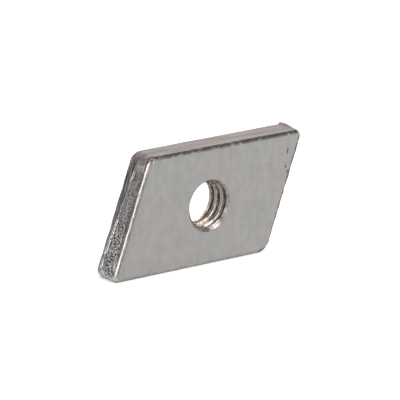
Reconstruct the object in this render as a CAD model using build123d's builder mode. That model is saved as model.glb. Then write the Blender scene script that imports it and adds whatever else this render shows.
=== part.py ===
"""T-slot nut: a slanted steel plate with one tapped hole, sheared from drawn flat bar."""

import os
from math import radians, sin, tan

from build123d import *

# Sizes are in millimetres and angles in degrees.

# Flat bar that the plate is sheared from
bar_width = 18.0
bar_thickness = 4.3

# Outline: a parallelogram whose long edges are the bar's own
long_edge_length = 30.0
end_angle = 71.0
obtuse_corner_radius = 2.2
acute_corner_radius = 1.0

# Rounding all round the front and back faces
front_edge_radius = 0.6
back_edge_radius = 0.4

# Roll-over: towards the back, the shear leaves each end leaning inwards
roll_depth = 1.4
roll_inset = 0.22

# Hole for an M8 x 1.25 thread, drilled to the tapping size and countersunk at 90 degrees, deeper in
# front than behind
tap_drill_diameter = 6.8
front_countersink_depth = 0.55
back_countersink_depth = 0.35

# The plate stands on one long edge, and all three sketch planes look out of its front face, towards -Y.
front_plane = Plane((0, -bar_thickness / 2, bar_width / 2), x_dir=(1, 0, 0), z_dir=(0, -1, 0))
roll_plane = front_plane.offset(roll_depth - bar_thickness)
back_plane = front_plane.offset(-bar_thickness)


def plate_outline(plane, edge_length):
    """Slanted outline with rounded corners, centred on the plane's origin."""
    overall_length = edge_length + bar_width / tan(radians(end_angle))
    with BuildSketch(plane) as outline:
        Trapezoid(overall_length, bar_width, end_angle, 180 - end_angle)
        fillet(outline.vertices().group_by(lambda corner: abs(corner.X))[-1], acute_corner_radius)
        fillet(outline.vertices().group_by(lambda corner: abs(corner.X))[0], obtuse_corner_radius)
    return outline.sketch


with BuildPart() as nut_plate:
    # Straight-sided part of the thickness, from the front face back to the roll-over
    extrude(plate_outline(front_plane, long_edge_length), amount=roll_depth - bar_thickness)

    # The rest of the thickness, with both ends drawn in square to themselves by the inset
    rolled_edge_length = long_edge_length - 2 * roll_inset / sin(radians(end_angle))
    loft(
        [plate_outline(roll_plane, long_edge_length), plate_outline(back_plane, rolled_edge_length)],
        ruled=True,
    )

    # Edges of the two faces
    fillet(nut_plate.faces().sort_by(Axis.Y)[0].outer_wire().edges(), front_edge_radius)
    fillet(nut_plate.faces().sort_by(Axis.Y)[-1].outer_wire().edges(), back_edge_radius)

    # Tapping hole through the middle, and its two countersunk mouths
    with Locations(front_plane):
        Hole(tap_drill_diameter / 2)
    mouth_edges = nut_plate.edges(Select.LAST).filter_by(GeomType.CIRCLE).sort_by(Axis.Y)
    chamfer(mouth_edges[0], front_countersink_depth)
    chamfer(mouth_edges[-1], back_countersink_depth)

nut_plate.part.label = "nut_plate"

os.makedirs("parts", exist_ok=True)
export_step(nut_plate.part, "parts/nut_plate.step")
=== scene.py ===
from math import ceil, cos, pi, radians, sin, tan

import bpy
import numpy as np
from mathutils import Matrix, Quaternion, Vector


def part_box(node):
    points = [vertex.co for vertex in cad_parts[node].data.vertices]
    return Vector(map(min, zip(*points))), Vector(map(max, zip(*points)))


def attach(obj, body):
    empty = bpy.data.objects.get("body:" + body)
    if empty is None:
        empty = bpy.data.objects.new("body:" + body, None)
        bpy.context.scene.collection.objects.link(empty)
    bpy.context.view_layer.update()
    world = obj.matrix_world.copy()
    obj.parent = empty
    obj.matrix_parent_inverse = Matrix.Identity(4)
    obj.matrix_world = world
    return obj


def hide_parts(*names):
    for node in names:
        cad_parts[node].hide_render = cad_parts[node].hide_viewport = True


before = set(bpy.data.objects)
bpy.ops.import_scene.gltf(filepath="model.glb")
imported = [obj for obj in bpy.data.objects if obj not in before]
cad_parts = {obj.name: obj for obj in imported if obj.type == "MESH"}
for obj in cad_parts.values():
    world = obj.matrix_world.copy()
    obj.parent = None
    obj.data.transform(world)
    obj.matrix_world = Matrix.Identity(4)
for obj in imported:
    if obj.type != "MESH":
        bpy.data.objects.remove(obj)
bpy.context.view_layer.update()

# ---------------------------------------------------------------------------------------------
# Camera. The nut stands on its long edge and is seen from its front left, a little from above,
# through a long lens, so that its edges stay almost parallel.
# ---------------------------------------------------------------------------------------------

view_azimuth = radians(-41.9)
view_elevation = radians(16.1)
view_roll = radians(2.5)
view_distance = 0.668
picture_width = 400
focal_length_in_pixels = 4575
sensor_width = 36.0
aim_right = 0.00003
aim_up = 0.00034
nearest_seen = 0.01
farthest_seen = 20

nut_low, nut_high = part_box("nut_plate")
hole_centre = (nut_low + nut_high) / 2


def direction_of(azimuth, elevation):
    """Unit vector at an azimuth, which is 0 in front and grows to the right, and an elevation."""
    return Vector((
        sin(azimuth) * cos(elevation),
        -cos(azimuth) * cos(elevation),
        sin(elevation),
    ))


towards_camera = direction_of(view_azimuth, view_elevation)
camera_turn = towards_camera.to_track_quat("Z", "Y") @ Quaternion((0, 0, 1), view_roll)
camera_data = bpy.data.cameras.new("camera")
camera_data.sensor_width = sensor_width
camera_data.lens = sensor_width * focal_length_in_pixels / picture_width
camera_data.clip_start = nearest_seen
camera_data.clip_end = farthest_seen
camera = bpy.data.objects.new("camera", camera_data)
camera.rotation_mode = "QUATERNION"
camera.rotation_quaternion = camera_turn
camera.location = (
    hole_centre
    + camera_turn @ Vector((aim_right, aim_up, 0))
    + towards_camera * view_distance
)
bpy.context.scene.collection.objects.link(camera)
bpy.context.scene.camera = camera

# ---------------------------------------------------------------------------------------------
# Studio. A pale floor under a sky that is white behind the nut and dark above and in front of it.
# Soft lamps hang overhead, in front at two heights, and by the camera.
# ---------------------------------------------------------------------------------------------

floor_half_size = 3.0
floor_tone = (0.80, 0.80, 0.80, 1)
floor_glow_to_camera = 0.55
sky_to_camera = (1, 1, 1, 1)
sky_at_horizon = (0.95, 0.95, 0.95, 1)
sky_overhead = (0.16, 0.15, 0.145, 1)
sky_darkens_towards = (-0.5, -0.5, 1.0)
sky_darkens_from = 0.18
sky_is_dark_from = 0.28
lamp_distance = 1.0

# Each lamp's name, azimuth and elevation in degrees, width, height, watts and tint
lamps = (
    ("lamp overhead", -30, 84, 0.60, 0.60, 4.2, (1.0, 0.99, 0.975)),
    ("lamp above", 6, 60, 0.70, 0.42, 3.2, (1.0, 0.98, 0.95)),
    ("lamp in front", 14, 28, 0.75, 0.24, 1.8, (1.0, 0.95, 0.90)),
    ("lamp by camera", -38, 14, 0.75, 0.45, 1.95, (1.0, 0.97, 0.955)),
)

bpy.context.scene.view_settings.view_transform = "Standard"

world = bpy.data.worlds.new("studio sky")
bpy.context.scene.world = world
world.use_nodes = True
sky = world.node_tree
sky.nodes.clear()
sky_direction = sky.nodes.new("ShaderNodeTexCoord")
sky_rise = sky.nodes.new("ShaderNodeVectorMath")
sky_rise.operation = "DOT_PRODUCT"
sky_rise.inputs[1].default_value = sky_darkens_towards
sky_ramp = sky.nodes.new("ShaderNodeValToRGB")
sky_ramp.color_ramp.elements[0].position = sky_darkens_from
sky_ramp.color_ramp.elements[0].color = sky_at_horizon
sky_ramp.color_ramp.elements[1].position = sky_is_dark_from
sky_ramp.color_ramp.elements[1].color = sky_overhead
sky_light = sky.nodes.new("ShaderNodeBackground")
sky_white = sky.nodes.new("ShaderNodeBackground")
sky_ray = sky.nodes.new("ShaderNodeLightPath")
sky_mix = sky.nodes.new("ShaderNodeMixShader")
sky_out = sky.nodes.new("ShaderNodeOutputWorld")
sky_white.inputs["Color"].default_value = sky_to_camera
sky.links.new(sky_direction.outputs["Generated"], sky_rise.inputs[0])
sky.links.new(sky_rise.outputs["Value"], sky_ramp.inputs["Fac"])
sky.links.new(sky_ramp.outputs["Color"], sky_light.inputs["Color"])
sky.links.new(sky_ray.outputs["Is Camera Ray"], sky_mix.inputs["Fac"])
sky.links.new(sky_light.outputs["Background"], sky_mix.inputs[1])
sky.links.new(sky_white.outputs["Background"], sky_mix.inputs[2])
sky.links.new(sky_mix.outputs["Shader"], sky_out.inputs["Surface"])

floor_corners = [
    (-floor_half_size, -floor_half_size, 0),
    (floor_half_size, -floor_half_size, 0),
    (floor_half_size, floor_half_size, 0),
    (-floor_half_size, floor_half_size, 0),
]
floor_mesh = bpy.data.meshes.new("floor")
floor_mesh.from_pydata(floor_corners, [], [(0, 1, 2, 3)])
floor = bpy.data.objects.new("floor", floor_mesh)
bpy.context.scene.collection.objects.link(floor)

floor_paint = bpy.data.materials.new("matt white floor")
floor_paint.use_nodes = True
floor_tree = floor_paint.node_tree
floor_tree.nodes.clear()
floor_diffuse = floor_tree.nodes.new("ShaderNodeBsdfDiffuse")
floor_diffuse.inputs["Color"].default_value = floor_tone
floor_glow = floor_tree.nodes.new("ShaderNodeEmission")
floor_ray = floor_tree.nodes.new("ShaderNodeLightPath")
floor_seen = floor_tree.nodes.new("ShaderNodeMath")
floor_seen.operation = "MULTIPLY"
floor_seen.inputs[1].default_value = floor_glow_to_camera
floor_add = floor_tree.nodes.new("ShaderNodeAddShader")
floor_out = floor_tree.nodes.new("ShaderNodeOutputMaterial")
floor_tree.links.new(floor_ray.outputs["Is Camera Ray"], floor_seen.inputs[0])
floor_tree.links.new(floor_seen.outputs["Value"], floor_glow.inputs["Strength"])
floor_tree.links.new(floor_diffuse.outputs["BSDF"], floor_add.inputs[0])
floor_tree.links.new(floor_glow.outputs["Emission"], floor_add.inputs[1])
floor_tree.links.new(floor_add.outputs["Shader"], floor_out.inputs["Surface"])
floor_mesh.materials.append(floor_paint)

for name, azimuth, elevation, width, height, watts, tint in lamps:
    lamp_data = bpy.data.lights.new(name, "AREA")
    lamp_data.shape = "RECTANGLE"
    lamp_data.size = width
    lamp_data.size_y = height
    lamp_data.energy = watts
    lamp_data.color = tint
    direction = direction_of(radians(azimuth), radians(elevation))
    lamp = bpy.data.objects.new(name, lamp_data)
    lamp.location = hole_centre + direction * lamp_distance
    lamp.rotation_mode = "QUATERNION"
    lamp.rotation_quaternion = direction.to_track_quat("Z", "Y")
    bpy.context.scene.collection.objects.link(lamp)

# ---------------------------------------------------------------------------------------------
# Nut plate, its blank. A slanted piece of flat drawn steel bar, with its corners and the edges of
# both faces rounded, and a hole through the middle that is countersunk from both sides. Towards
# the back the shear has left both ends rolled over, deep at the obtuse corner, slight at the acute.
# ---------------------------------------------------------------------------------------------

plate_width = nut_high.z - nut_low.z
plate_thickness = nut_high.y - nut_low.y
long_edge_length = 0.030
end_angle = radians(71)

# Corner radii behind and in front, which blend through the thickness. They are in the order of the
# outline: lower acute, lower obtuse, upper acute, upper obtuse.
corner_radii_behind = (0.0012, 0.0022, 0.0010, 0.0022)
corner_radii_in_front = (0.0010, 0.0025, 0.0010, 0.0013)

# Roundings of both faces' edges, roll-over of the ends, and the hole
front_edge_radius = 0.0006
back_edge_radius = 0.0004
roll_depth_at_obtuse = 0.0022
roll_depth_at_acute = 0.0007
roll_inset = 0.00022
roll_waver = 0.00007
roll_waver_length = 0.0009
roll_waver_seed = 7
roll_waver_run = 0.2
tapping_radius = 0.0034
front_mouth_radius = 0.00395
back_mouth_radius = 0.00375

# Spacing of the mesh along the outline and across the section. Each flat face keeps a narrow strip
# along its edges, which stops the rounding from shading it.
long_edge_step = 0.0005
end_step = 0.0001
corner_steps_per_radian = 22
side_step = 0.0001
bore_step = 0.000054
rounding_rows = 6
face_rows = 5
face_strip = 0.00006

# Rings of the lip, by their depth from the roll-over's crease, and how high each one stands
lip_depths = (-0.00040, -0.00032, -0.00022, -0.00010, 0.0, 0.00006, 0.00012)
lip_rises = (0.0, 0.3, 0.9, 1.0, 0.9, 0.4, 0.0)


def outline_columns(radii):
    """Points and outward normals round the outline, and how far each is on a sheared end."""
    lean = plate_width / tan(end_angle)
    half_length = long_edge_length / 2
    half_width = plate_width / 2
    corner_points = np.array([
        (-half_length - lean / 2, -half_width),
        (half_length - lean / 2, -half_width),
        (half_length + lean / 2, half_width),
        (-half_length + lean / 2, half_width),
    ])
    headings = [0, end_angle, pi, pi + end_angle]
    columns = []
    for corner in range(4):
        # The rounded corner, from the side that ends at it to the side that leaves it
        following = (corner + 1) % 4
        arrive, leave = headings[corner - 1], headings[corner]
        turn = (leave - arrive) % (2 * pi)
        next_turn = (headings[following] - leave) % (2 * pi)
        setback = radii[corner] * tan(turn / 2)
        next_setback = radii[following] * tan(next_turn / 2)
        arriving, leaving = np.array([(cos(arrive), sin(arrive)), (cos(leave), sin(leave))])
        start = corner_points[corner] - setback * arriving
        centre = start + radii[corner] * np.array([-arriving[1], arriving[0]])
        leaves_to_end = corner % 2 == 1
        steps = round(corner_steps_per_radian * turn)
        for share in np.arange(steps) / steps:
            angle = arrive - pi / 2 + share * turn
            normal = np.array([cos(angle), sin(angle)])
            sheared = share if leaves_to_end else 1 - share
            columns.append((*(centre + radii[corner] * normal), *normal, sheared))
        # The straight side that leaves the corner
        run_start = corner_points[corner] + setback * leaving
        run = corner_points[following] - next_setback * leaving - run_start
        steps = round(plate_width / end_step if leaves_to_end else long_edge_length / long_edge_step)
        for share in np.arange(steps) / steps:
            columns.append((*(run_start + share * run), leaving[1], -leaving[0], float(leaves_to_end)))
    return np.array(columns)


columns = outline_columns(corner_radii_behind)
outline, outward, on_end = columns[:, 0:2], columns[:, 2:4], columns[:, 4]
front_outline = outline_columns(corner_radii_in_front)[:, 0:2]
ray_angle = np.arctan2(outline[:, 1], outline[:, 0])
ray = np.stack([np.cos(ray_angle), np.sin(ray_angle)], axis=1)
front = -plate_thickness / 2
back = plate_thickness / 2

# Each end's obtuse corner is at the bottom on the right, and at the top on the left
on_right = outline[:, 0] > 0
up_the_width = outline[:, 1] / plate_width + 0.5
towards_obtuse = np.where(on_right, 1 - up_the_width, up_the_width)
roll_depth = roll_depth_at_acute + (roll_depth_at_obtuse - roll_depth_at_acute) * towards_obtuse

# The roll-over's edge wavers, as torn steel does. The run of wavers is longer than the way round.
column_places = np.arange(len(outline)) * end_step
waver_places = np.arange(0, roll_waver_run, roll_waver_length)
waver_draws = np.random.default_rng(roll_waver_seed)
waver_heights = waver_draws.uniform(-roll_waver, roll_waver, len(waver_places))
roll_depth += np.interp(column_places, waver_places, waver_heights) * on_end
roll_tilt = np.arctan(roll_inset / roll_depth * on_end)


def outer_ring(inset, depth):
    """Ring of points at an inset from the outline and a depth through the plate. The outline goes
    from the front's to the back's on the way through."""
    inset, depth = np.broadcast_to(inset, len(outline)), np.broadcast_to(depth, len(outline))
    towards_back = ((depth - front) / (back - front))[:, None]
    flat = front_outline + (outline - front_outline) * towards_back - outward * inset[:, None]
    return np.stack([flat[:, 0], depth, flat[:, 1]], axis=1)


def bore_ring(radius, depth):
    """Ring of points round the hole, on the same rays as the outline's."""
    return np.stack([ray[:, 0] * radius, np.full(len(ray), depth), ray[:, 1] * radius], axis=1)


def rings_between(first, last, rows):
    """Rings on the straight lines from one ring to another, with both of them."""
    return [first + (last - first) * share for share in np.linspace(0, 1, rows + 1)]


rings = {}
front_inner = bore_ring(front_mouth_radius + face_strip, front)
front_outer = outer_ring(front_edge_radius + face_strip, front)
rings["front face"] = [
    bore_ring(front_mouth_radius, front),
    *rings_between(front_inner, front_outer, face_rows),
    outer_ring(front_edge_radius, front),
]
rings["front edge"] = [
    outer_ring(front_edge_radius * (1 - sin(angle)), front + front_edge_radius * (1 - cos(angle)))
    for angle in np.linspace(0, pi / 2, rounding_rows + 1)[1:]
]

# The straight side goes as far as the crease, where the roll-over begins
crease = back - roll_depth
side_rows = ceil((plate_thickness - front_edge_radius - roll_depth_at_acute) / side_step)
side_first = outer_ring(0, front + front_edge_radius)
side_last = outer_ring(0, crease + lip_depths[0])
rings["side"] = rings_between(side_first, side_last, side_rows)[1:]
rings["lip"] = [outer_ring(0, crease + depth) for depth in lip_depths[1:-1]]

# The roll-over leans inwards and ends in the back edge's rounding
rounding_inset = back_edge_radius + (roll_depth - back_edge_radius) * np.sin(roll_tilt)
rounding_inset /= np.cos(roll_tilt)
roll_first = outer_ring(lip_depths[-1] * np.tan(roll_tilt), crease + lip_depths[-1])
roll_last = outer_ring(
    rounding_inset - back_edge_radius * np.cos(roll_tilt),
    back - back_edge_radius * (1 - np.sin(roll_tilt)),
)
roll_rows = ceil((roll_depth_at_obtuse - back_edge_radius) / side_step)
rings["roll"] = rings_between(roll_first, roll_last, roll_rows)
rings["back edge"] = [
    outer_ring(
        rounding_inset - back_edge_radius * np.cos(roll_tilt + (pi / 2 - roll_tilt) * share),
        back - back_edge_radius * (1 - np.sin(roll_tilt + (pi / 2 - roll_tilt) * share)),
    )
    for share in np.linspace(0, 1, rounding_rows + 1)[1:]
]
back_outer = outer_ring(rounding_inset + face_strip, back)
back_inner = bore_ring(back_mouth_radius + face_strip, back)
rings["back face"] = rings_between(back_outer, back_inner, face_rows)

# Through the hole from the back to the front, with a 45 degree countersink at both mouths, deeper in
# front than behind
bore_rows = ceil(plate_thickness / bore_step)
bore_depths = np.linspace(back, front, bore_rows + 1)[:-1]
front_sink = front_mouth_radius + front - bore_depths
back_sink = back_mouth_radius + bore_depths - back
bore_radii = np.maximum(tapping_radius, np.maximum(front_sink, back_sink))
rings["bore"] = [bore_ring(radius, depth) for radius, depth in zip(bore_radii, bore_depths)]

zones = [zone for zone, zone_rings in rings.items() for _ in zone_rings]
points = np.concatenate([ring for zone_rings in rings.values() for ring in zone_rings])
ring_count = len(zones)
column_count = len(outline)
this_ring, this_column = np.indices((ring_count, column_count))
next_ring = (this_ring + 1) % ring_count
next_column = (this_column + 1) % column_count
faces = np.stack([
    this_ring * column_count + this_column,
    next_ring * column_count + this_column,
    next_ring * column_count + next_column,
    this_ring * column_count + next_column,
], axis=-1).reshape(-1, 4)

blank_mesh = bpy.data.meshes.new("nut blank")
blank_mesh.from_pydata((points + np.array(hole_centre)).tolist(), [], faces.tolist())
blank_mesh.polygons.foreach_set("use_smooth", [True] * len(faces))


def mark_points(name, *shares):
    """Stores a share at every point: its ring's times its column's, summed over the pairs given."""
    attribute = blank_mesh.attributes.new(name, "FLOAT", "POINT")
    total = sum(np.outer(ring_shares, column_shares) for ring_shares, column_shares in shares)
    attribute.data.foreach_set("value", total.ravel())


def rings_in(*names):
    """1 for each ring in the named zones and 0 for the others."""
    return np.array([float(zone in names) for zone in zones])


def some_rings(name, start, stop, shares):
    """Shares for a zone's rings from one place in it to another, and 0 for all the others."""
    ring_shares = np.zeros(ring_count)
    ring_shares[np.flatnonzero(rings_in(name))[start:stop]] = shares
    return ring_shares


def ramp(values, low, high):
    """0 to 1 as values go from one limit to the other."""
    return np.clip((values - low) / (high - low), 0, 1)


# Bands of the sheared end, which covers part of both its rounded corners. From the obtuse corner it
# is smooth and dark, with painted shade over the highlight on its front edge, has painted shade and
# then a fine ridge that is only a painted highlight line, and a plain patch, then the tear with its
# lip, and last a rim on the acute corner that is brightened as a painted reflection. The first two
# pairs are shares of a rounded corner's turn, and the others are distances from the obtuse corner. A
# pair that falls is where a band stops. The rim is measured from the acute corner: it is full up to
# the first distance and gone past the second.
end_starts = (0.36, 0.41)
corner_edge_starts = (0.0, 0.03)
corner_edge_stops = (0.00065, 0.00035)
smooth_corner_stops = (0.00156, 0.00148)
ridge_shade_starts = (0.0010, 0.0014)
ridge_shade_stops = (0.00182, 0.00172)
ridge_starts = (0.00176, 0.00184)
ridge_stops = (0.00208, 0.00200)
tear_starts = (0.0024, 0.0029)
tear_coarsens = (0.0055, 0.0115)
rim_widths = (0.0006, 0.0011)

# Places along the lip, from the obtuse corner, and how strong it is at each
lip_places = (0.0022, 0.0026, 0.0034, 0.0044, 0.0086, 0.0096, 0.0160, 0.0168)
lip_strengths = (0.0, 0.9, 0.9, 0.45, 0.4, 1.0, 1.0, 0.6)

# Strengths of the marks where they are fainter or stronger than usual. A row of them goes from
# ring to ring, from the front.
tear_on_front_edge = (0.5, 1.0)
tear_shadow_on_front_edge = 0.6
rim_on_right = 0.5
rim_on_front_edge = 0.4
corner_edge_shadow = 1.6
ridge_shade = 0.55
drawn_edge_on_face = 0.6
drawn_edge_in_front = (1.0, 1.0, 0.8, 0.6, 0.5, 0.4)
drawn_edge_behind = 0.5
drawn_edge_below = 0.3
right_edge_shade_on_face = 0.9
right_edge_shade_below = 0.6

from_obtuse = (1 - towards_obtuse) * plate_width
from_acute = towards_obtuse * plate_width
short_of_rim = ramp(from_acute, *rim_widths)
sheared_columns = ramp(on_end, *end_starts)
smooth_corner_columns = sheared_columns * ramp(from_obtuse, *smooth_corner_stops)
corner_edge_columns = ramp(on_end, *corner_edge_starts) * ramp(from_obtuse, *corner_edge_stops)
ridge_shade_columns = on_end * ramp(from_obtuse, *ridge_shade_starts)
ridge_shade_columns *= ramp(from_obtuse, *ridge_shade_stops)
ridge_columns = on_end * ramp(from_obtuse, *ridge_starts) * ramp(from_obtuse, *ridge_stops)
lip_columns = on_end * np.interp(from_obtuse, lip_places, lip_strengths)
torn_columns = on_end * ramp(from_obtuse, *tear_starts) * short_of_rim
coarse_columns = ramp(from_obtuse, *tear_coarsens)
rolled_columns = on_end * short_of_rim
rim_columns = sheared_columns * (1 - short_of_rim) * np.where(on_right, rim_on_right, 1.0)
every_column = np.ones(column_count)

end_rings = rings_in("side", "lip", "roll")
corner_rings = end_rings + some_rings("back edge", 0, None, np.linspace(1, 0, rounding_rows))
torn_rings = rings_in("side") + some_rings("front edge", -2, None, tear_on_front_edge)
rim_rings = end_rings + rings_in("back edge") + rim_on_front_edge * rings_in("front edge")
shadow_rings = (
    some_rings("front edge", 0, 2, tear_shadow_on_front_edge)
    + some_rings("side", 0, 2, 1.0)
)

# The last ring of the back edge is the back face's own border, so the end's marks stop short of it
end_edge_rings = rings_in("front edge") + some_rings("back edge", 0, -1, 1.0)

mark_points("end", (end_rings, sheared_columns))
mark_points("drawn", (end_rings, 1 - sheared_columns))
# On the obtuse corner's front edge the corner colour is painted shade over the rounding's highlight
mark_points(
    "corner",
    (corner_rings, smooth_corner_columns),
    (rings_in("front edge"), corner_edge_columns),
)
# The ridge has no shape of its own: it is a painted highlight line
mark_points("ridge_highlight", (rings_in("side"), ridge_columns))
mark_points("torn", (torn_rings, torn_columns))
mark_points("coarse", (torn_rings, coarse_columns))
mark_points("lip", (some_rings("lip", 0, None, lip_rises[1:-1]), lip_columns))
mark_points("rolled", (rings_in("roll"), rolled_columns))
mark_points("rim", (rim_rings, rim_columns))
mark_points(
    "shadow",
    (shadow_rings, torn_columns),
    (rings_in("front edge") * corner_edge_shadow, corner_edge_columns),
    (rings_in("side") * ridge_shade, ridge_shade_columns),
)
mark_points("end edge", (end_edge_rings, on_end))

# The drawn edge in front is brown next to the face, with painted shade that darkens it more above
# than below. Painted shade runs broken along the front edge of the right end, more above than below,
# and a dark line is painted along the inside of the left one.
drawn_edge_rings = (
    some_rings("front face", -1, None, drawn_edge_on_face)
    + some_rings("front edge", 0, None, drawn_edge_in_front)
    + drawn_edge_behind * rings_in("back edge")
)
drawn_edge_columns = (1 - on_end) * np.where(outline[:, 1] > 0, 1.0, drawn_edge_below)
# Painted shade on the right end's front edge, more above than below
right_edge_shade_rings = rings_in("front edge") + some_rings("front face", -1, None, right_edge_shade_on_face)
right_edge_shade_columns = on_end * on_right * short_of_rim * (right_edge_shade_below + up_the_width)
mark_points("drawn edge", (drawn_edge_rings, drawn_edge_columns))
mark_points("right_edge_shade", (right_edge_shade_rings, right_edge_shade_columns))
# A dark line painted along the inside of the left end's front edge
mark_points("left_edge_dark_line", (some_rings("front face", -1, None, 1.0), on_end * ~on_right))
mark_points("rounded", (rings_in("front edge", "back edge"), every_column))
mark_points("in bore", (rings_in("bore") + some_rings("front face", 0, 1, 1.0), every_column))

blank = bpy.data.objects.new("nut blank", blank_mesh)
bpy.context.scene.collection.objects.link(blank)

# ---------------------------------------------------------------------------------------------
# Nut plate, its plating. Dull zinc all over: faintly clouded and streaked on the faces, brownish
# with drawing marks on the long edges, dark and grainy on the torn ends, and cut through by the
# tap, which leaves brown roots and brighter crests in the thread. Painted shade and painted
# highlights lie along the edges, on the lip and the rim, and in the thread.
# ---------------------------------------------------------------------------------------------

face_cool = (0.447, 0.466, 0.462, 1)
face_warm = (0.482, 0.466, 0.455, 1)
drawn_brown = (0.435, 0.370, 0.352, 1)
drawn_dark = (0.22, 0.18, 0.17, 1)
# Brown of the long edges, which also stands for painted shade under the top edge
edge_brown_and_shade = (0.25, 0.212, 0.195, 1)
corner_brown = (0.48, 0.415, 0.40, 1)
end_grey = (0.44, 0.425, 0.425, 1)
torn_dark = (0.045, 0.043, 0.045, 1)
torn_light = (0.66, 0.645, 0.65, 1)
fine_dark = (0.20, 0.195, 0.20, 1)
fine_light = (0.50, 0.48, 0.49, 1)
torn_glint = (0.90, 0.89, 0.88, 1)
rolled_grey = (0.13, 0.125, 0.12, 1)
# Bright edge colour, for wear and a painted highlight along the ends' edges
wear_and_highlight = (0.70, 0.67, 0.66, 1)
# Near white, for painted highlights on the lip and a spot on the left end's edge
highlight_white = (0.97, 0.95, 0.94, 1)
# Light grey for the rim, a painted reflection of the pale floor
rim_reflection_grey = (0.80, 0.78, 0.77, 1)
edge_shadow = (0.13, 0.112, 0.105, 1)
burr_grey = (0.52, 0.48, 0.46, 1)
# Thread tones by groove depth: the root colour is brown and painted shade, the edge colour a painted
# highlight
thread_root = (0.17, 0.135, 0.115, 1)
thread_flank = (0.34, 0.295, 0.265, 1)
thread_edge = (0.72, 0.66, 0.61, 1)
thread_crest = (0.50, 0.445, 0.405, 1)
countersink_grey = (0.42, 0.40, 0.385, 1)
countersink_brown = (0.27, 0.235, 0.215, 1)

# How rough each finish is, as a pair where it varies
face_dullness = (0.38, 0.46)
drawn_dullness = (0.30, 0.42)
rounded_dullness = 0.26
corner_dullness = 0.46
torn_dullness = 0.42
glint_dullness = 0.20
rolled_dullness = (0.30, 0.42)
rim_dullness = 0.6
lip_dullness = 0.24
burr_dullness = 0.55
crest_dullness = 0.22
root_dullness = 0.34
countersink_dullness = 0.36

# Height of each pattern's relief, in millimetres
millimetre = 0.001
face_relief = 0.003
drawn_relief = 0.006
torn_relief = 0.05
rolled_relief = 0.012
thread_relief = 0.004
nick_depth = -0.03

# How far some patterns are mixed in
streak_strength = 0.3
ridge_highlight_strength = 0.5
lip_raggedness = 1.2
thread_smear = 0.35

# Places in the hole. Its roots are paler behind than in front, as painted light from behind, by
# their depth through the plate. The thread has a painted highlight at the bottom and painted shade
# above, by how far it is below the axis. The countersink's colour comes in round the cone's foot.
roots_pale_from = 0.0014
roots_dark_before = 0.0004
pale_root_share = 0.45
highlight_full_below = 0.0021
highlight_gone_below = 0.0014
bottom_highlight = 1.4
upper_shade = 0.8
countersink_fade = (-0.00002, 0.00006)

plating = bpy.data.materials.new("zinc plated steel")
plating.use_nodes = True
coat = plating.node_tree
steel = coat.nodes["Principled BSDF"]
steel.inputs["Metallic"].default_value = 1.0


def calculate(tree, operation, *values):
    """Result of a Math node on sockets or numbers."""
    node = tree.nodes.new("ShaderNodeMath")
    node.operation = operation
    for socket, value in zip(node.inputs, values):
        if isinstance(value, bpy.types.NodeSocket):
            tree.links.new(value, socket)
        else:
            socket.default_value = value
    return node.outputs["Value"]


def stored(name):
    """A share stored at the points of the nut, for the plating."""
    node = coat.nodes.new("ShaderNodeAttribute")
    node.attribute_name = name
    return node.outputs["Fac"]


coat_place = coat.nodes.new("ShaderNodeTexCoord")


def pattern(grains_per_mm, detail=2.0, roughness=0.5, seed=0.0, lean=0.0):
    """Noise on the nut's own coordinates, with its grains to a millimetre on X, Y and Z."""
    mapping = coat.nodes.new("ShaderNodeMapping")
    mapping.vector_type = "TEXTURE"
    mapping.inputs["Rotation"].default_value = (0, lean, 0)
    mapping.inputs["Scale"].default_value = [millimetre / count for count in grains_per_mm]
    noise = coat.nodes.new("ShaderNodeTexNoise")
    noise.noise_dimensions = "4D"
    noise.inputs["Scale"].default_value = 1.0
    noise.inputs["Detail"].default_value = detail
    noise.inputs["Roughness"].default_value = roughness
    noise.inputs["W"].default_value = seed
    coat.links.new(coat_place.outputs["Object"], mapping.inputs["Vector"])
    coat.links.new(mapping.outputs["Vector"], noise.inputs["Vector"])
    return noise.outputs["Fac"]


def spread(value, low, high, to_low=0.0, to_high=1.0):
    """Value between two limits, spread smoothly over another range. Patterns vary about 0.5."""
    node = coat.nodes.new("ShaderNodeMapRange")
    node.interpolation_type = "SMOOTHSTEP"
    coat.links.new(value, node.inputs["Value"])
    node.inputs["From Min"].default_value = low
    node.inputs["From Max"].default_value = high
    node.inputs["To Min"].default_value = to_low
    node.inputs["To Max"].default_value = to_high
    return node.outputs["Result"]


def shaded(tint, share):
    """Colour made darker or lighter by a share."""
    node = coat.nodes.new("ShaderNodeVectorMath")
    node.operation = "SCALE"
    if isinstance(tint, bpy.types.NodeSocket):
        coat.links.new(tint, node.inputs["Vector"])
    else:
        node.inputs["Vector"].default_value = tint[:3]
    coat.links.new(share, node.inputs["Scale"])
    return node.outputs["Vector"]


def blend(share, first, second):
    """Mix of two colours or numbers by a share of the second. The node has sockets for each."""
    node = coat.nodes.new("ShaderNodeMix")
    is_number = isinstance(second, float) or getattr(second, "type", None) == "VALUE"
    node.data_type = "FLOAT" if is_number else "RGBA"
    factor, a, b = (0, 2, 3) if is_number else (0, 6, 7)
    coat.links.new(share, node.inputs[factor])
    for socket, value in ((a, first), (b, second)):
        if isinstance(value, bpy.types.NodeSocket):
            coat.links.new(value, node.inputs[socket])
        else:
            node.inputs[socket].default_value = value
    return node.outputs[0 if is_number else 2]


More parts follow.
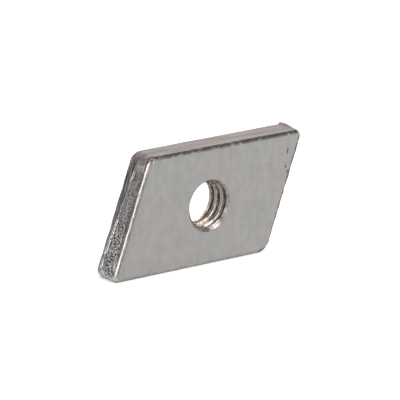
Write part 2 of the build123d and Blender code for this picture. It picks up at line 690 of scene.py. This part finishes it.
# Faces: cool and warm clouds, with fine streaks up and down
clouds = pattern((0.22, 0.22, 0.22), detail=3.0, seed=1.0)
streaks = pattern((1.6, 1.6, 0.35), detail=3.0, seed=2.0)
speckle = pattern((0.8, 0.8, 0.7), detail=4.0, roughness=0.6, seed=3.0)
colour = blend(spread(clouds, 0.36, 0.64), face_cool, face_warm)
cloud_and_streak = calculate(coat, "MULTIPLY_ADD", streaks, streak_strength, speckle)
shade = spread(cloud_and_streak, 0.42, 0.88, 0.92, 1.08)
colour = shaded(colour, shade)
dullness = spread(speckle, 0.3, 0.7, *face_dullness)
height = calculate(coat, "MULTIPLY", calculate(coat, "ADD", streaks, speckle), face_relief)

# Long edges: marks of the drawing die, lengthwise
die_marks = pattern((0.10, 1.3, 1.3), detail=3.0, roughness=0.7, seed=4.0)
drawn = stored("drawn")
colour = blend(drawn, colour, blend(spread(die_marks, 0.40, 0.56), drawn_dark, drawn_brown))
dullness = blend(drawn, dullness, spread(die_marks, 0.3, 0.7, *drawn_dullness))
height = blend(drawn, height, calculate(coat, "MULTIPLY", die_marks, drawn_relief))

# Edges of the faces: rubbed a little smoother, brown with painted shade in places along the bar, and
# bright along the ends, partly wear and partly a painted highlight; the right end's edge has painted
# shade and the left one a dark line painted inside it
edge_patches = pattern((1.2, 1.2, 1.2), detail=3.0, seed=5.0)
rounded = stored("rounded")
dullness = blend(rounded, dullness, rounded_dullness)
# Brown and painted shade on the drawn edges, more above than below
browned_and_shaded = calculate(coat, "MULTIPLY", stored("drawn edge"), spread(edge_patches, 0.62, 0.50))
colour = blend(browned_and_shaded, colour, edge_brown_and_shade)
# Wear and a painted highlight along the edges of both ends
end_edge_highlight = calculate(coat, "MULTIPLY", stored("end edge"), spread(edge_patches, 0.25, 0.5))
colour = blend(end_edge_highlight, colour, wear_and_highlight)
# Painted shade along the right end's front edge, broken by noise
right_edge_breaks = pattern((2.0, 2.0, 1.1), detail=2.0, seed=10.0)
right_edge_shade = calculate(coat, "MULTIPLY", stored("right_edge_shade"), spread(right_edge_breaks, 0.60, 0.46))
colour = blend(right_edge_shade, colour, edge_shadow)
# Dark line painted along the inside of the left end's front edge
left_edge_dark_line = calculate(coat, "MULTIPLY", stored("left_edge_dark_line"), spread(edge_patches, 0.34, 0.52, 0.35, 1.0))
colour = blend(left_edge_dark_line, colour, edge_shadow)

# Ends: grey, and mottled brown on the smooth corner
mottle = pattern((1.8, 1.8, 1.8), detail=3.0, seed=11.0)
colour = blend(stored("end"), colour, end_grey)
corner = stored("corner")
colour = blend(corner, colour, shaded(corner_brown, spread(mottle, 0.36, 0.64, 0.72, 1.2)))
dullness = blend(corner, dullness, corner_dullness)

# Torn part of the ends: dark grains, light ones, and a few that glint
grains = pattern((3.6, 3.6, 3.6), detail=3.0, roughness=0.7, seed=6.0)
glints = pattern((4.0, 4.0, 4.0), detail=1.0, seed=7.0)
torn = stored("torn")
glinting = spread(glints, 0.60, 0.66)
coarse = stored("coarse")
grain_share = spread(grains, 0.44, 0.56)
fine_colour = blend(grain_share, fine_dark, fine_light)
coarse_colour = blend(grain_share, torn_dark, torn_light)
coarse_colour = blend(glinting, coarse_colour, torn_glint)
grain_colour = blend(coarse, fine_colour, coarse_colour)
colour = blend(torn, colour, grain_colour)
dullness = blend(torn, dullness, blend(glinting, torn_dullness, glint_dullness))
height = blend(torn, height, calculate(coat, "MULTIPLY", grains, torn_relief))

# Roll-over behind the tear, scored lengthwise, and the rim on the acute corner, brightened as a
# painted reflection
scores = pattern((3.0, 3.0, 0.35), detail=3.0, roughness=0.6, seed=8.0, lean=pi / 2 - end_angle)
rolled = stored("rolled")
colour = blend(rolled, colour, shaded(rolled_grey, spread(scores, 0.41, 0.59, 0.45, 2.2)))
dullness = blend(rolled, dullness, spread(scores, 0.3, 0.7, *rolled_dullness))
height = blend(rolled, height, calculate(coat, "MULTIPLY", scores, rolled_relief))
# Painted reflection on the rim of the acute corner
rim = stored("rim")
colour = blend(rim, colour, rim_reflection_grey)
dullness = blend(rim, dullness, rim_dullness)

# Painted shade along the edges of the tear, on the obtuse corner's front edge and above the ridge,
# lighter here and there; then the lip's painted highlight with ragged breaks, the ridge's painted
# highlight, and the burr
shadow = calculate(coat, "MULTIPLY", stored("shadow"), spread(edge_patches, 0.62, 0.40, 0.45, 1.0))
colour = blend(shadow, colour, edge_shadow)
# The lip's brightness is a painted highlight, broken by noise
lip = stored("lip stood up")
lip_noise = calculate(coat, "SUBTRACT", glints, 0.5)
ragged = calculate(coat, "MULTIPLY_ADD", lip_noise, lip_raggedness, lip)
lip_highlight = calculate(coat, "MULTIPLY", spread(lip, 0.0, 0.2), spread(ragged, 0.25, 0.60))
colour = blend(lip_highlight, colour, highlight_white)
dullness = blend(lip_highlight, dullness, lip_dullness)
height = calculate(coat, "MULTIPLY", height, spread(lip_highlight, 1.0, 0.0))
# Painted highlight line of the ridge
ridge_highlight = calculate(coat, "MULTIPLY", stored("ridge_highlight"), ridge_highlight_strength)
colour = blend(ridge_highlight, colour, wear_and_highlight)
burr = stored("burr")
colour = blend(burr, colour, burr_grey)
dullness = blend(burr, dullness, burr_dullness)

# Hole: grey countersinks, and a thread with dark roots deepened by painted shade, brown flanks, and
# crests with a painted highlight along their edges
in_bore = stored("in bore")
smears = pattern((2.2, 2.2, 2.2), detail=3.0, seed=9.0)
smear_noise = calculate(coat, "SUBTRACT", smears, 0.5)
depth = calculate(coat, "MULTIPLY_ADD", smear_noise, thread_smear, stored("groove"))
# Painted highlight at the crests' edges
thread_colour = blend(spread(depth, 0.0, 0.06), thread_crest, thread_edge)
thread_colour = blend(spread(depth, 0.08, 0.28), thread_colour, thread_flank)
coat_axes = coat.nodes.new("ShaderNodeSeparateXYZ")
coat.links.new(coat_place.outputs["Object"], coat_axes.inputs["Vector"])
# Painted light from behind: the roots are paler towards the back
root_strength = spread(
    coat_axes.outputs["Y"], roots_pale_from, roots_dark_before, pale_root_share, 1.0
)
root_share = calculate(coat, "MULTIPLY", spread(depth, 0.50, 0.90), root_strength)
thread_colour = blend(root_share, thread_colour, thread_root)
from_middle = calculate(coat, "MULTIPLY", coat_axes.outputs["Y"], -1.0)
# Painted highlight on the lower thread and painted shade on the upper
thread_shade = spread(
    coat_axes.outputs["Z"],
    hole_centre.z - highlight_full_below,
    hole_centre.z - highlight_gone_below,
    bottom_highlight,
    upper_shade,
)
thread_colour = shaded(thread_colour, thread_shade)
cone_starts = plate_thickness / 2 - (front_mouth_radius - tapping_radius)
countersunk = spread(from_middle, cone_starts + countersink_fade[0], cone_starts + countersink_fade[1])
countersunk = calculate(coat, "MULTIPLY", countersunk, spread(depth, 0.30, 0.05))
sink_colour = blend(spread(smears, 0.44, 0.60), countersink_grey, countersink_brown)
thread_colour = blend(countersunk, thread_colour, sink_colour)
colour = blend(in_bore, colour, thread_colour)
thread_dullness = blend(spread(depth, 0.02, 0.5), crest_dullness, root_dullness)
bore_dullness = blend(countersunk, thread_dullness, countersink_dullness)
dullness = blend(in_bore, dullness, bore_dullness)
height = blend(in_bore, height, calculate(coat, "MULTIPLY", smears, thread_relief))

# Front face: dark nicks inside the right end, and painted highlights at both corners of the left
# one. Each has its middle and half sizes in millimetres, its lean in degrees, its tint and how far
# it is sunk.
marks = (
    (14.98, 15.05, 0.15, 0.52, 8, edge_shadow, nick_depth),
    (14.70, 12.70, 0.15, 0.30, 8, edge_shadow, nick_depth),
    (15.10, 11.90, 0.15, 0.30, 8, edge_shadow, nick_depth),
    (15.32, 11.20, 0.15, 0.24, 8, edge_shadow, nick_depth),
    # The last two are painted highlights
    (-11.19, 17.32, 0.15, 0.42, 8, wear_and_highlight, 0.0),
    (-17.18, 2.45, 0.26, 1.30, 19, highlight_white, 0.0),
)
mark_gone_at = 1.1
mark_full_within = 0.6
for x, z, half_width, half_length, lean, tint, sunk in marks:
    mapping = coat.nodes.new("ShaderNodeMapping")
    mapping.vector_type = "TEXTURE"
    mapping.inputs["Location"].default_value = (x * millimetre, front, z * millimetre)
    mapping.inputs["Rotation"].default_value = (0, radians(lean), 0)
    mapping.inputs["Scale"].default_value = (
        half_width * millimetre,
        millimetre,
        half_length * millimetre,
    )
    reach = coat.nodes.new("ShaderNodeVectorMath")
    reach.operation = "LENGTH"
    coat.links.new(coat_place.outputs["Object"], mapping.inputs["Vector"])
    coat.links.new(mapping.outputs["Vector"], reach.inputs[0])
    mark_share = spread(reach.outputs["Value"], mark_gone_at, mark_full_within)
    colour = blend(mark_share, colour, tint)
    height = calculate(coat, "MULTIPLY_ADD", mark_share, sunk, height)

relief = coat.nodes.new("ShaderNodeBump")
relief.inputs["Distance"].default_value = millimetre
coat.links.new(height, relief.inputs["Height"])
coat.links.new(colour, steel.inputs["Base Color"])
coat.links.new(dullness, steel.inputs["Roughness"])
coat.links.new(relief.outputs["Normal"], steel.inputs["Normal"])

# ---------------------------------------------------------------------------------------------
# Nut plate, its sheared ends. The shear tears the steel across the bar: it leaves coarse grain, a
# broken lip where the tear meets the roll-over, wavering edges, and a burr on one corner.
# ---------------------------------------------------------------------------------------------

shear_sizes = {
    "Grain Depth": 0.00012,
    "Grains Per Metre": 2800.0,
    "Lip Height": 0.00023,
    "Lip Breaks Per Metre": 1300.0,
    "Lip Gone Below Noise": -0.14,
    "Lip Whole Above Noise": -0.04,
    "Edge Waver": 0.00026,
    "Edge Wavers Per Metre": 500.0,
    "Burr Height": 0.00020,
    "Burr Start": 0.0166,
    "Burr Growth": 0.0004,
    "Burr Full Below Edge": 0.0001,
    "Burr Gone Below Edge": 0.0009,
    "Burr Starts At Depth": -0.0016,
    "Burr Full At Depth": 0.0012,
    "Plate Width": plate_width,
    "Seed": 11.0,
}


def new_maker(name, sizes):
    """Geometry Nodes tree with its input and output sockets, and its group input's sockets."""
    tree = bpy.data.node_groups.new(name, "GeometryNodeTree")
    tree.interface.new_socket("Blank", in_out="INPUT", socket_type="NodeSocketGeometry")
    for size_name in sizes:
        tree.interface.new_socket(size_name, in_out="INPUT", socket_type="NodeSocketFloat")
    tree.interface.new_socket("Made", in_out="OUTPUT", socket_type="NodeSocketGeometry")
    return tree, tree.nodes.new("NodeGroupInput").outputs


def read_share(tree, name):
    """Share that is stored at the points of the blank."""
    node = tree.nodes.new("GeometryNodeInputNamedAttribute")
    node.data_type = "FLOAT"
    node.inputs["Name"].default_value = name
    return node.outputs["Attribute"]


def store_share(tree, geometry, name, share):
    """Geometry with a share stored at its points, for the plating."""
    node = tree.nodes.new("GeometryNodeStoreNamedAttribute")
    node.data_type = "FLOAT"
    node.domain = "POINT"
    node.inputs["Name"].default_value = name
    tree.links.new(geometry, node.inputs["Geometry"])
    tree.links.new(share, node.inputs["Value"])
    return node.outputs["Geometry"]


def place_axes(tree):
    """Each point's X, Y and Z."""
    place = tree.nodes.new("GeometryNodeInputPosition")
    axes = tree.nodes.new("ShaderNodeSeparateXYZ")
    tree.links.new(place.outputs["Position"], axes.inputs["Vector"])
    return axes.outputs


def noise_at(tree, per_metre, seed, detail):
    """Noise from about -0.5 to 0.5 at each point."""
    place = tree.nodes.new("GeometryNodeInputPosition")
    noise = tree.nodes.new("ShaderNodeTexNoise")
    noise.noise_dimensions = "4D"
    noise.inputs["Detail"].default_value = detail
    tree.links.new(place.outputs["Position"], noise.inputs["Vector"])
    tree.links.new(per_metre, noise.inputs["Scale"])
    tree.links.new(seed, noise.inputs["W"])
    return calculate(tree, "SUBTRACT", noise.outputs["Fac"], 0.5)


def ease(tree, value, low, high):
    """0 to 1, smoothly, as a value goes from one limit to the other."""
    node = tree.nodes.new("ShaderNodeMapRange")
    node.interpolation_type = "SMOOTHSTEP"
    for socket, limit in (("Value", value), ("From Min", low), ("From Max", high)):
        if isinstance(limit, bpy.types.NodeSocket):
            tree.links.new(limit, node.inputs[socket])
        else:
            node.inputs[socket].default_value = limit
    return node.outputs["Result"]


def end_maker(tree, geometry, material):
    """Realizes the geometry, gives it its material and puts it out."""
    realize = tree.nodes.new("GeometryNodeRealizeInstances")
    paint = tree.nodes.new("GeometryNodeSetMaterial")
    paint.inputs["Material"].default_value = material
    tree.links.new(geometry, realize.inputs["Geometry"])
    tree.links.new(realize.outputs["Geometry"], paint.inputs["Geometry"])
    tree.links.new(paint.outputs["Geometry"], tree.nodes.new("NodeGroupOutput").inputs["Made"])


def apply_maker(piece, tree, sizes):
    """Puts a tree on a piece as a modifier, and sets its sizes."""
    modifier = piece.modifiers.new(tree.name, "NODES")
    modifier.node_group = tree
    for item in tree.interface.items_tree:
        if item.name in sizes:
            modifier[item.identifier] = sizes[item.name]


shear, shear_size = new_maker("shear the ends", shear_sizes)
shear_seed = shear_size["Seed"]
grain_noise = noise_at(shear, shear_size["Grains Per Metre"], shear_seed, 2.0)
break_noise = noise_at(shear, shear_size["Lip Breaks Per Metre"], shear_seed, 1.0)
edge_noise = noise_at(shear, shear_size["Edge Wavers Per Metre"], shear_seed, 1.0)
grain_push = calculate(shear, "MULTIPLY", grain_noise, shear_size["Grain Depth"])
grain_push = calculate(shear, "MULTIPLY", grain_push, read_share(shear, "torn"))
unbroken = ease(
    shear, break_noise, shear_size["Lip Gone Below Noise"], shear_size["Lip Whole Above Noise"]
)
lip_share = calculate(shear, "MULTIPLY", unbroken, read_share(shear, "lip"))
lip_push = calculate(shear, "MULTIPLY", lip_share, shear_size["Lip Height"])
edge_push = calculate(shear, "MULTIPLY", edge_noise, shear_size["Edge Waver"])
edge_push = calculate(shear, "MULTIPLY", edge_push, read_share(shear, "end edge"))
push = calculate(shear, "ADD", grain_push, lip_push)
push = calculate(shear, "ADD", push, edge_push)

outwards = shear.nodes.new("GeometryNodeInputNormal")
pushed = shear.nodes.new("ShaderNodeVectorMath")
pushed.operation = "SCALE"
shear.links.new(outwards.outputs["Normal"], pushed.inputs["Vector"])
shear.links.new(push, pushed.inputs["Scale"])
push_out = shear.nodes.new("GeometryNodeSetPosition")
lip_marked = store_share(shear, shear_size["Blank"], "lip stood up", lip_share)
shear.links.new(lip_marked, push_out.inputs["Geometry"])
shear.links.new(pushed.outputs["Vector"], push_out.inputs["Offset"])

# Towards the back the upper acute corner is drawn out sharp and stands up in a burr
across, along, upright = place_axes(shear)
below_edge = calculate(shear, "SUBTRACT", shear_size["Plate Width"], upright)
burr_start = shear_size["Burr Start"]
burr_full = calculate(shear, "ADD", burr_start, shear_size["Burr Growth"])
past_edge = ease(
    shear, below_edge, shear_size["Burr Full Below Edge"], shear_size["Burr Gone Below Edge"]
)
near_edge = calculate(shear, "SUBTRACT", 1.0, past_edge)
near_back = ease(
    shear, along, shear_size["Burr Starts At Depth"], shear_size["Burr Full At Depth"]
)
burr_share = calculate(shear, "MULTIPLY", ease(shear, across, burr_start, burr_full), near_edge)
burr_share = calculate(shear, "MULTIPLY", burr_share, near_back)
burr_rise = calculate(shear, "ADD", shear_size["Burr Height"], below_edge)
burr_lift = shear.nodes.new("ShaderNodeCombineXYZ")
shear.links.new(calculate(shear, "MULTIPLY", burr_rise, burr_share), burr_lift.inputs["Z"])
raise_burr = shear.nodes.new("GeometryNodeSetPosition")
shear.links.new(burr_lift.outputs["Vector"], raise_burr.inputs["Offset"])
pushed_out = store_share(shear, push_out.outputs["Geometry"], "burr", burr_share)
shear.links.new(pushed_out, raise_burr.inputs["Geometry"])
end_maker(shear, raise_burr.outputs["Geometry"], plating)

# ---------------------------------------------------------------------------------------------
# Nut plate, its thread. An M8 x 1.25 right-hand thread is tapped from the front: a helical groove
# with flanks at 60 degrees, which starts in the countersink and runs out just short of the back.
# ---------------------------------------------------------------------------------------------

thread_pitch = 0.00125
tap_sizes = {
    "Pitch": thread_pitch,
    "Major Radius": 0.0040,
    "Tapping Radius": tapping_radius,
    "Root Flat": thread_pitch / 8,
    "Half Angle": radians(30),
    "Start": 0.0008,
    "Waver": 0.00028,
    "Wavers Per Metre": 1700.0,
    "Seed": 12.0,
    "Run Out From": 0.0016,
    "Run Out To": 0.0020,
    "Run Out Rise": 0.0007,
    "Rounding": 0.00003,
    "Axis Height": hole_centre.z,
}

tap, tap_size = new_maker("tap the hole", tap_sizes)
pitch = tap_size["Pitch"]
across, along, upright = place_axes(tap)
height_off_axis = calculate(tap, "SUBTRACT", upright, tap_size["Axis Height"])
height_squared = calculate(tap, "MULTIPLY", height_off_axis, height_off_axis)
radius_squared = calculate(tap, "MULTIPLY_ADD", across, across, height_squared)
radius = calculate(tap, "SQRT", radius_squared)

# Distance along the axis to the middle of the nearest turn of the groove
turned = calculate(tap, "DIVIDE", calculate(tap, "ARCTAN2", across, height_off_axis), 2 * pi)
waver_noise = noise_at(tap, tap_size["Wavers Per Metre"], tap_size["Seed"], 1.0)
tap_waver = calculate(tap, "MULTIPLY", waver_noise, tap_size["Waver"])
past_start = calculate(tap, "SUBTRACT", calculate(tap, "ADD", along, tap_waver), tap_size["Start"])
past_groove = calculate(tap, "SUBTRACT", past_start, calculate(tap, "MULTIPLY", turned, pitch))
half_pitch = calculate(tap, "MULTIPLY", pitch, 0.5)
wrapped = calculate(tap, "WRAP", past_groove, half_pitch, calculate(tap, "MULTIPLY", half_pitch, -1.0))
to_groove = calculate(tap, "ABSOLUTE", wrapped)

# The groove gets shallower past its root flat, as steeply as its flanks, and where it runs out
half_flat = calculate(tap, "MULTIPLY", tap_size["Root Flat"], 0.5)
past_root = calculate(tap, "SUBTRACT", to_groove, half_flat)
past_root = calculate(tap, "MAXIMUM", past_root, 0.0)
shallower = calculate(tap, "DIVIDE", past_root, calculate(tap, "TANGENT", tap_size["Half Angle"]))
groove_radius = calculate(tap, "SUBTRACT", tap_size["Major Radius"], shallower)
run_out = ease(tap, along, tap_size["Run Out From"], tap_size["Run Out To"])
run_out_rise = calculate(tap, "MULTIPLY", run_out, tap_size["Run Out Rise"])
groove_radius = calculate(tap, "SUBTRACT", groove_radius, run_out_rise)
cut_radius = calculate(tap, "SMOOTH_MAX", groove_radius, radius, tap_size["Rounding"])
stretch = calculate(tap, "DIVIDE", cut_radius, radius)
cut_height = calculate(tap, "MULTIPLY_ADD", height_off_axis, stretch, tap_size["Axis Height"])
cut_place = tap.nodes.new("ShaderNodeCombineXYZ")
tap.links.new(calculate(tap, "MULTIPLY", across, stretch), cut_place.inputs["X"])
tap.links.new(along, cut_place.inputs["Y"])
tap.links.new(cut_height, cut_place.inputs["Z"])

thread_depth = calculate(tap, "SUBTRACT", tap_size["Major Radius"], tap_size["Tapping Radius"])
cut_share = calculate(tap, "DIVIDE", calculate(tap, "SUBTRACT", cut_radius, radius), thread_depth)
tap_bore = read_share(tap, "in bore")
cut_groove = tap.nodes.new("GeometryNodeSetPosition")
groove_share = calculate(tap, "MULTIPLY", cut_share, tap_bore)
groove_marked = store_share(tap, tap_size["Blank"], "groove", groove_share)
tap.links.new(groove_marked, cut_groove.inputs["Geometry"])
tap.links.new(calculate(tap, "GREATER_THAN", tap_bore, 0.5), cut_groove.inputs["Selection"])
tap.links.new(cut_place.outputs["Vector"], cut_groove.inputs["Position"])
end_maker(tap, cut_groove.outputs["Geometry"], plating)

# ---------------------------------------------------------------------------------------------
# Nut plate, made up. The blank is sheared and tapped, and rides as one piece in place of its CAD
# solid.
# ---------------------------------------------------------------------------------------------

apply_maker(blank, shear, shear_sizes)
apply_maker(blank, tap, tap_sizes)
depsgraph = bpy.context.evaluated_depsgraph_get()
nut_mesh = bpy.data.meshes.new_from_object(blank.evaluated_get(depsgraph), depsgraph=depsgraph)
nut_mesh.name = "t_slot_nut"
nut = bpy.data.objects.new("t_slot_nut", nut_mesh)
bpy.context.scene.collection.objects.link(nut)
bpy.data.objects.remove(blank)

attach(nut, "root")
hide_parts("nut_plate")
